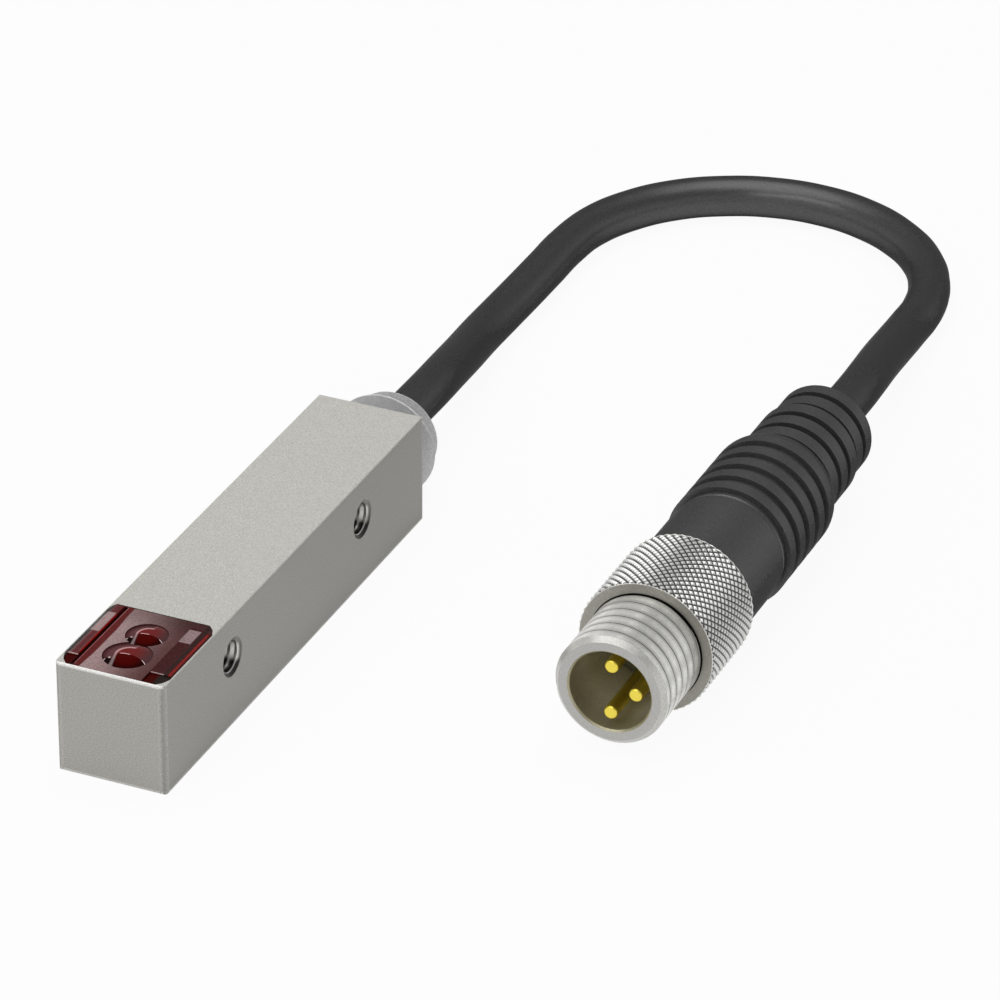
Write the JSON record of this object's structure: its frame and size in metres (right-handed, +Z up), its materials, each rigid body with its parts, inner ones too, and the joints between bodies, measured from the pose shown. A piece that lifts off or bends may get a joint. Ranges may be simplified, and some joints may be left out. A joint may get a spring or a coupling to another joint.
{
  "type": "diffuse photoelectric sensor",
  "caption": "Miniature cuboid diffuse light sensor with a red lens window, through screw holes and a short cable that ends in a round screw plug with contact pins.",
  "frame": {"origin": "on the floor, under the middle of the sensor head's length and width", "axes": "+Y from the lens end towards the cable end, +X towards the screw plug's side, +Z up, out of the lens window"},
  "size_m": [0.0371, 0.0965, 0.0098],
  "materials": {
    "housing_metal": "fine satin, blasted and clear coated",
    "window_red": "clear deep red, partly frosted",
    "carrier_black": "matt moulded",
    "emitter_body": "clear moulded",
    "receiver_body": "dark clear moulded",
    "board_green": "solder mask",
    "chip_black": "matt moulded",
    "chip_parts": "ceramic",
    "light_green": "clear moulded",
    "light_yellow": "clear moulded",
    "cap_grey": "satin translucent",
    "wire_brown": "smooth insulation",
    "wire_blue": "smooth insulation",
    "wire_black": "smooth insulation",
    "cable_jacket": "satin jacket",
    "screw_nickel": "nickel plated, turned",
    "pin_gold": "gold plated",
    "grip_black": "satin moulded"
  },
  "bodies": {
    "sensor": {"housing": "housing_metal", "lens_window": "window_red", "optics_carrier": "carrier_black", "emitter_led": "emitter_body", "receiver_photodiode": "receiver_body", "main_board": "board_green", "sensor_chip": "chip_black", "board_passives": "chip_parts", "status_led_green": "light_green", "status_led_yellow": "light_yellow", "end_cap": "cap_grey", "head_wire_brown": "wire_brown", "head_wire_blue": "wire_blue", "head_wire_black": "wire_black", "cable": "cable_jacket", "contact_carrier": "carrier_black", "pin_1": "pin_gold", "pin_3": "pin_gold", "pin_4": "pin_gold", "plug_wire_brown": "wire_brown", "plug_wire_blue": "wire_blue", "plug_wire_black": "wire_black", "grip": "grip_black"},
    "coupling_screw": {"coupling_screw": "screw_nickel"}
  },
  "joints": [
    {"name": "coupling_spin", "type": "hinge", "parent": "sensor", "child": "coupling_screw", "pos_m": [0.0282, 0, 0.0049], "axis": [0, 1, 0], "continuous": true}
  ]
}
